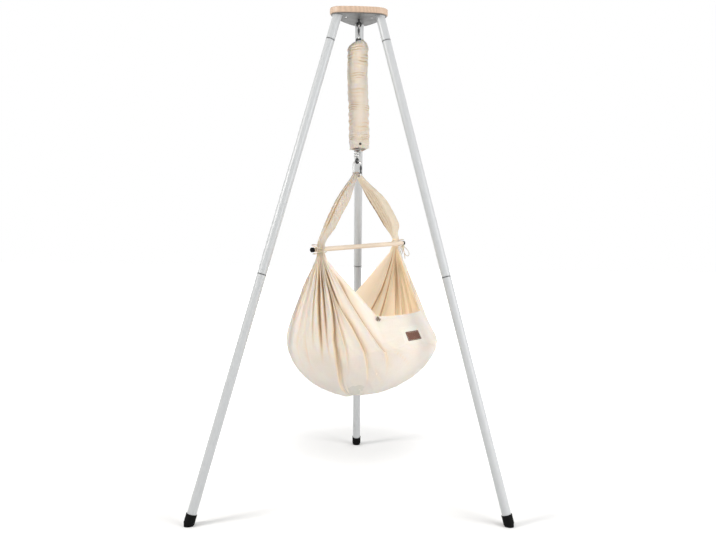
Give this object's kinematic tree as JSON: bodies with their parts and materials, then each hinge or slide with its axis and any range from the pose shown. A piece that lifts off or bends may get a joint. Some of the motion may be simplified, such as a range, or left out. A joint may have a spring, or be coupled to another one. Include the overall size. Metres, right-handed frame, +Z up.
{
  "type": "baby spring cradle",
  "caption": "Free-standing spring cradle: a tripod of pinned tubes, a sprung hanger in a gathered cloth sleeve, and a cotton hammock with mattress spread by a wooden bar.",
  "frame": {"origin": "centre of the whole object in plan, on the floor under its feet", "axes": "+Z up, the stand and hanger upright along it; the rear leg is on the +Y side, the two front legs on the -Y side, left leg at -X and right leg at +X; the hammock hangs with its bar turned 50 degrees from +X towards +Y"},
  "size_m": [1.2526, 1.0904, 2.0188],
  "materials": {
    "white powder coat": "satin",
    "birch": "satin lacquer",
    "black rubber": "matte",
    "bright steel": "satin",
    "black finish": "satin",
    "natural cotton": "matte weave",
    "cotton cord": "matte twisted",
    "mattress cover": "matte weave",
    "brown leather": "matte"
  },
  "bodies": {
    "stand": {"top_board": "birch", "mount_plate": "white powder coat", "board_screw_left": "bright steel", "board_screw_right": "bright steel", "board_screw_rear": "bright steel", "eye_bolt": "black finish", "eye_washer": "black finish", "eye_nut": "black finish", "leg_socket_left": "white powder coat", "leg_socket_right": "white powder coat", "leg_socket_rear": "white powder coat", "upper_leg_left": "white powder coat", "upper_leg_right": "white powder coat", "upper_leg_rear": "white powder coat", "lower_leg_left": "white powder coat", "lower_leg_right": "white powder coat", "lower_leg_rear": "white powder coat", "foot_left": "black rubber", "foot_right": "black rubber", "foot_rear": "black rubber", "top_snap_spring_left": "bright steel", "top_snap_spring_right": "bright steel", "top_snap_spring_rear": "bright steel", "middle_snap_spring_left": "bright steel", "middle_snap_spring_right": "bright steel", "middle_snap_spring_rear": "bright steel"},
    "upper_hook": {"upper_carabiner": "bright steel", "upper_gate_pin": "bright steel"},
    "upper_hook_gate": {"upper_gate": "black finish"},
    "spring_head": {"spring_top_eye": "black finish", "spring": "bright steel", "spring_sleeve": "natural cotton"},
    "spring_foot": {"spring_bottom_plug": "bright steel", "sleeve_stud": "black finish"},
    "swivel": {"swivel_eye": "black finish"},
    "cradle": {"lower_carabiner": "bright steel", "lower_gate_pin": "bright steel", "suspension_band": "natural cotton", "spreader_bar": "birch", "bar_cap_near": "black rubber", "bar_cap_far": "black rubber", "lashing_near": "cotton cord", "lashing_far": "cotton cord", "gather_bow": "cotton cord", "hammock_body": "natural cotton", "hem_tie": "cotton cord", "mattress": "mattress cover", "patch_backing": "natural cotton", "leather_patch": "brown leather"},
    "lower_hook_gate": {"lower_gate": "black finish"},
    "top_left_button": {"top_button_left": "bright steel"},
    "top_right_button": {"top_button_right": "bright steel"},
    "top_rear_button": {"top_button_rear": "bright steel"},
    "middle_left_button": {"middle_button_left": "bright steel"},
    "middle_right_button": {"middle_button_right": "bright steel"},
    "middle_rear_button": {"middle_button_rear": "bright steel"}
  },
  "joints": [
    {"name": "fore_aft_swing", "type": "hinge", "parent": "stand", "child": "upper_hook", "pos_m": [0, -0.17473, 1.95], "axis": [1, 0, 0], "range_deg": [-3, 3]},
    {"name": "side_swing", "type": "hinge", "parent": "upper_hook", "child": "spring_head", "pos_m": [0, -0.17473, 1.8947], "axis": [0, 1, 0], "range_deg": [-3, 3]},
    {"name": "spring_stretch", "type": "slide", "parent": "spring_head", "child": "spring_foot", "axis": [0, 0, -1], "range_m": [0, 0.25], "stiffness_N_per_m": 450, "springref_m": -0.067, "deforming": ["spring", "spring_sleeve"]},
    {"name": "hammock_swivel", "type": "hinge", "parent": "spring_foot", "child": "swivel", "pos_m": [0, -0.17473, 1.4006], "axis": [0, 0, 1], "range_deg": [-15, 15]},
    {"name": "cradle_rock", "type": "hinge", "parent": "swivel", "child": "cradle", "pos_m": [0, -0.17473, 1.3961], "axis": [0.6428, 0.766, 0], "range_deg": [-2, 2]},
    {"name": "upper_gate_opening", "type": "hinge", "parent": "upper_hook", "child": "upper_hook_gate", "pos_m": [0, -0.19523, 1.9042], "axis": [-1, 0, 0], "range_deg": [0, 22], "stiffness_Nm_per_rad": 0.05, "springref_deg": -28.65},
    {"name": "lower_gate_opening", "type": "hinge", "parent": "cradle", "child": "lower_hook_gate", "pos_m": [0.0157, -0.18791, 1.3503], "axis": [-0.6428, -0.766, 0], "range_deg": [0, 22], "stiffness_Nm_per_rad": 0.05, "springref_deg": -28.65},
    {"name": "top_left_press", "type": "slide", "parent": "stand", "child": "top_left_button", "axis": [-0.8282, -0.4781, 0.2924], "range_m": [0, 0.0042], "stiffness_N_per_m": 600, "springref_m": -0.003, "deforming": ["top_snap_spring_left"]},
    {"name": "top_right_press", "type": "slide", "parent": "stand", "child": "top_right_button", "axis": [0.8282, -0.4781, 0.2924], "range_m": [0, 0.0042], "stiffness_N_per_m": 600, "springref_m": -0.003, "deforming": ["top_snap_spring_right"]},
    {"name": "top_rear_press", "type": "slide", "parent": "stand", "child": "top_rear_button", "axis": [0, 0.9563, 0.2924], "range_m": [0, 0.0042], "stiffness_N_per_m": 600, "springref_m": -0.003, "deforming": ["top_snap_spring_rear"]},
    {"name": "middle_left_press", "type": "slide", "parent": "stand", "child": "middle_left_button", "axis": [-0.8282, -0.4781, 0.2924], "range_m": [0, 0.0042], "stiffness_N_per_m": 600, "springref_m": -0.003, "deforming": ["middle_snap_spring_left"]},
    {"name": "middle_right_press", "type": "slide", "parent": "stand", "child": "middle_right_button", "axis": [0.8282, -0.4781, 0.2924], "range_m": [0, 0.0042], "stiffness_N_per_m": 600, "springref_m": -0.003, "deforming": ["middle_snap_spring_right"]},
    {"name": "middle_rear_press", "type": "slide", "parent": "stand", "child": "middle_rear_button", "axis": [0, 0.9563, 0.2924], "range_m": [0, 0.0042], "stiffness_N_per_m": 600, "springref_m": -0.003, "deforming": ["middle_snap_spring_rear"]}
  ]
}
